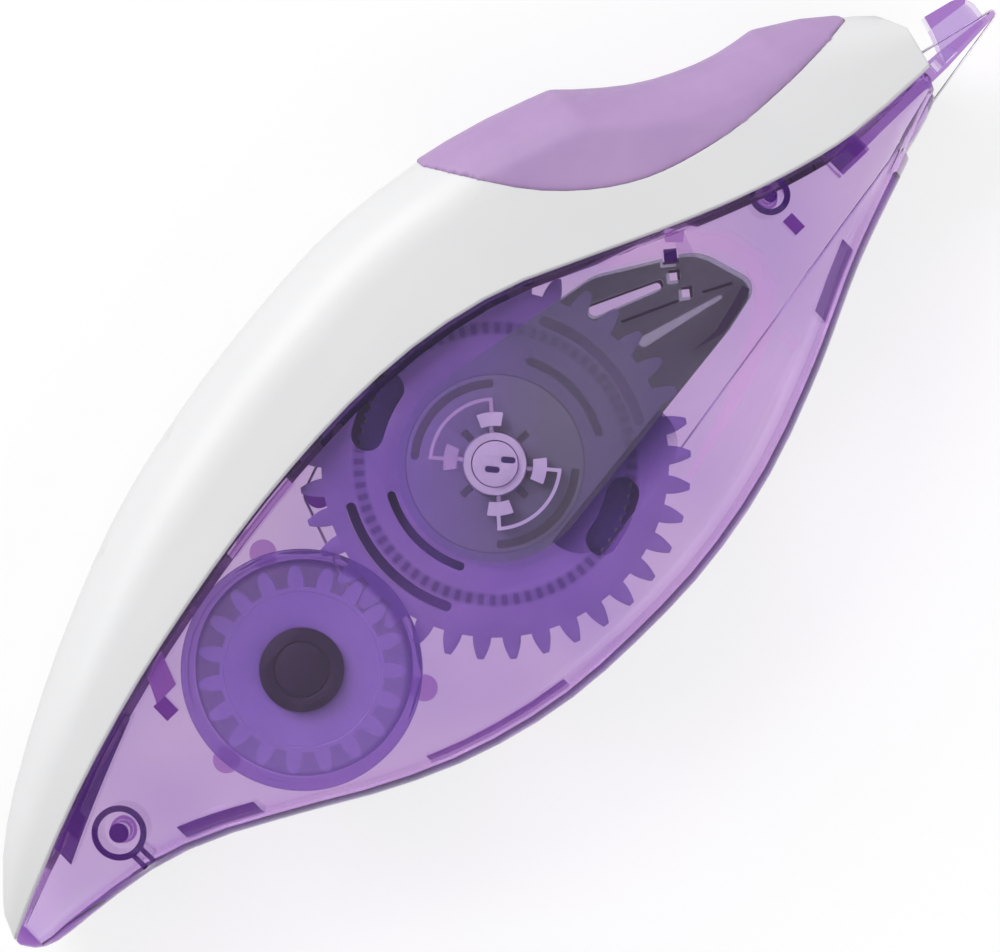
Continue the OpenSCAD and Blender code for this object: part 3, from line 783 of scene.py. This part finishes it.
# The turn from lilac to grey across the picture is a painted reflection.
painted_reflection_fade = spread(smoke_finish, along(smoke_finish, RIGHT), 0, 1, LILAC_TO, GREY_FROM)
smoke_finish.to(blend(smoke_finish, painted_reflection_fade, LILAC_SMOKE, GREY_REFLECTION, 0, 1), "Base Color")
uneven_gloss(smoke_finish, grain=3, low=0.04, high=0.08)
let_light_through(smoke_finish, (0.85, 0.88, 0.85))
near_plate = moulded("near_reel_plate")
paint(near_plate, smoke_finish)
# The lip of the plate gets the charcoal finish as painted shade.
paint_where(near_plate, charcoal_and_shade_finish, lambda at, way: not PLATE_LOW < at.z < PLATE_HIGH)

# %% Far plate
FAR_PLATE_FOOT = 1
dark_smoke = plastic("dark_smoke_plate", (0.05, 0.05, 0.055), (0.07, 0.07, 0.075),
                     mottle=2, rough=(0.3, 0.4), grain=1)
paint(moulded("far_reel_plate", edge=0.08, ease=[(FAR_PLATE_FOOT, HAIR)]), dark_smoke)

# %% [markdown]
# ## The wing of the near plate, which carries a painted shadow
# A thin clear wing runs along the lower edge of the near plate, perhaps to keep
# dust off the gear. It carries a painted shadow: the plate's own shadow on the
# gear, which the plate, lying a hair over the gear, can't cast. The painted
# shade is darkest where the wing joins the plate and fades out towards its free
# edge. A thin strip is enough: a plane is sized, its two free corners are
# rounded off, it is given its thickness, and it is turned to follow the plate's
# edge.

# %% Wing outline
WING_LONG, WING_WIDE = 16, 4.4
WING_CORNER, CORNER_STEPS = 4, 12
bpy.ops.object.select_all(action="DESELECT")
bpy.ops.mesh.primitive_plane_add(size=MM, location=(0, 0, 0))
wing = bpy.context.active_object
wing.name = "plate_shadow_wing"
wing.data.name = "plate_shadow_wing"
bpy.ops.object.mode_set(mode="EDIT")
bpy.ops.mesh.select_all(action="SELECT")
bpy.ops.transform.resize(value=(WING_LONG, WING_WIDE, 1), center_override=(0, 0, 0))
bpy.ops.object.mode_set(mode="OBJECT")
pick_points(wing, lambda at: at.y < 0)
bpy.ops.mesh.bevel(offset=WING_CORNER * MM, segments=CORNER_STEPS, affect="VERTICES")
bpy.ops.object.mode_set(mode="OBJECT")
print("wing outline has", len(wing.data.vertices), "points")

# %% Wing thickness and place
WING_LOW, WING_THICK, WING_EDGE = 14.36, 0.26, 0.05
WING_AT = (7, -10.18)
WING_TURN = radians(7.1)
only(wing)
bpy.ops.object.mode_set(mode="EDIT")
bpy.ops.mesh.select_all(action="SELECT")
bpy.ops.mesh.extrude_region_move(TRANSFORM_OT_translate={"value": (0, 0, WING_THICK * MM)})
bpy.ops.mesh.select_all(action="SELECT")
bpy.ops.mesh.normals_make_consistent(inside=False)
bpy.ops.object.mode_set(mode="OBJECT")
wing.rotation_euler = (0, 0, WING_TURN)
wing.location = (WING_AT[0] * MM, WING_AT[1] * MM, WING_LOW * MM)
bpy.ops.object.transform_apply(location=True, rotation=True, scale=True)
apply_modifier(wing, "BEVEL", width=WING_EDGE * MM, segments=2, limit_method="ANGLE",
               angle_limit=radians(60))
smooth(wing, SMOOTH_BELOW)
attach(wing, "housing")
print("wing has", len(wing.data.polygons), "faces, from", WING_LOW, "mm up")

# %% Wing finish, a painted shadow
OUTWARD = (sin(WING_TURN), -cos(WING_TURN), 0)
wing_middle = WING_AT[0] * OUTWARD[0] + WING_AT[1] * OUTWARD[1]
WING_FROM, WING_TO = (wing_middle - WING_WIDE / 2) * MM, (wing_middle + WING_WIDE / 2) * MM
# The wing's colour is painted shadow: the plate's shadow on the gear, dark at the plate and fading to
# clear at its free edge.
WING_PAINTED_SHADOW = (0.2, 0.14, 0.34)
wing_shadow_finish = Finish("painted_plate_shadow")
wing_shadow_finish.set(IOR=1.03, Transmission_Weight=1.0)
fade = spread(wing_shadow_finish, along(wing_shadow_finish, OUTWARD), 0, 1, WING_FROM, WING_TO)
wing_shadow_finish.to(blend(wing_shadow_finish, fade, WING_PAINTED_SHADOW, CLEAR, 0, 1), "Base Color")
uneven_gloss(wing_shadow_finish, grain=3, low=0.01, high=0.03)
let_light_through(wing_shadow_finish, CLEAR)
paint(wing, wing_shadow_finish)

# %% [markdown]
# ## The applicator tip
# The tip is a dyed clear wedge with thin wings above it and pockets in its
# root. It looks milder than the shells, so it has less dye in its depth and a
# little colour on its surface. Its end, which presses the tape down, is thin,
# polished and nearly colourless.

# %% Applicator tip
TIP_POLISH_FROM, TIP_POLISH_TO = 62 * MM, 63.5 * MM
TIP_LILAC, TIP_POLISHED = (0.82, 0.74, 0.92), (1, 0.97, 1)
TIP_DYE = (0.5, 0.09, 0.675)
TIP_FOOT, TIP_TOP = 5.58, 11.42
tip_finish = Finish("dyed_clear_tip")
tip_finish.set(IOR=1.12, Transmission_Weight=1.0)
tip_finish.set(Coat_Weight=0.6, Coat_IOR=1.5, Coat_Roughness=0.04)
polish = spread(tip_finish, along(tip_finish, (1, 0, 0)), 0, 1, TIP_POLISH_FROM, TIP_POLISH_TO)
tip_finish.to(blend(tip_finish, polish, TIP_LILAC, TIP_POLISHED, 0, 1), "Base Color")
uneven_gloss(tip_finish, grain=3, low=0.04, high=0.1)
let_light_through(tip_finish, (0.95, 0.9, 0.97))
dye(tip_finish, TIP_DYE, density=215)
paint(moulded("applicator_tip", ease=[(TIP_TOP, -HAIR), (TIP_FOOT, HAIR)]), tip_finish)

# %% [markdown]
# ## The tape and its liner
# The white coating rides on a thin liner from the supply roll to the tip, and
# the bare liner goes back to the take-up roll. A roll is hundreds of turns, and
# its side shows them as fine rings. The rings come from noise that is read at
# the distance from the axle alone. Inside the case the edge of the tape is in
# shade and picks up the colour of the shells, and this shade and tint is painted
# on the edge faces.


# %% Rolls of tape
TURN_PITCH, TURN_DEPTH = 0.12, 0.02


def turns(finish, axle, pitch):
    """Fine rings round an axle, about pitch millimetres apart."""
    noise = finish.nodes.new("ShaderNodeTexNoise")
    noise.noise_dimensions = "1D"
    noise.inputs["Scale"].default_value = 1 / (pitch * MM)
    finish.links.new(from_axle(finish, axle), noise.inputs["W"])
    return noise.outputs["Fac"]


def wound(name, dark, pale, axle):
    """The side of a roll of tape, with its turns."""
    finish = Finish(name)
    rings = turns(finish, axle, TURN_PITCH)
    finish.to(blend(finish, rings, dark, pale), "Base Color")
    uneven_gloss(finish, grain=0.5, low=0.5, high=0.65)
    raise_grain(finish, rings, TURN_DEPTH)
    return finish


WHITE, OFF_WHITE = (0.9, 0.9, 0.89), (0.84, 0.84, 0.82)
LINER, DARK_LINER = (0.76, 0.72, 0.8), (0.68, 0.64, 0.72)
paint(moulded("tape_roll"), wound("tape_turns", OFF_WHITE, WHITE, AXLES["supply_reel_spin"]))
paint(moulded("liner_roll"), wound("liner_turns", DARK_LINER, LINER, AXLES["take_up_spin"]))

# %% Strands of tape
EDGE_PAINTED_SHADE = (0.6, 0.48, 0.72)
OPEN_FROM, OPEN_TO = 49 * MM, 53 * MM


def shaded_edge(name, color):
    """The narrow edge of a strand, with painted shade inside the case and pale outside it."""
    finish = Finish(name)
    open_air = spread(finish, along(finish, (1, 0, 0)), 0, 1, OPEN_FROM, OPEN_TO)
    finish.to(blend(finish, open_air, EDGE_PAINTED_SHADE, color, 0, 1), "Base Color")
    uneven_gloss(finish, grain=0.5, low=0.5, high=0.6)
    return finish


def on_narrow_edge(at, way):
    return abs(way.z) > FACING


tape_strand = moulded("tape_strand")
paint(tape_strand, plastic("white_tape", OFF_WHITE, WHITE, mottle=2, rough=(0.55, 0.7), grain=0.5))
# The narrow edges get painted shade inside the case.
paint_where(tape_strand, shaded_edge("tape_edge_painted_shade", WHITE), on_narrow_edge)
liner_strand = moulded("liner_strand")
paint(liner_strand, plastic("release_liner", DARK_LINER, LINER, mottle=2, rough=(0.4, 0.5), grain=0.5))
paint_where(liner_strand, shaded_edge("liner_edge_painted_shade", LINER), on_narrow_edge)

# %% [markdown]
# ## The supply core
# The spool under the roll is purple styrene. Only its flange shows, under the
# gear and through the far shell.

# %% Supply core
spool_finish = plastic("purple_spool", (0.24, 0.13, 0.5), (0.28, 0.16, 0.54),
                       mottle=3, rough=(0.3, 0.42), grain=1)
paint(moulded("supply_core", edge=0.1), spool_finish)
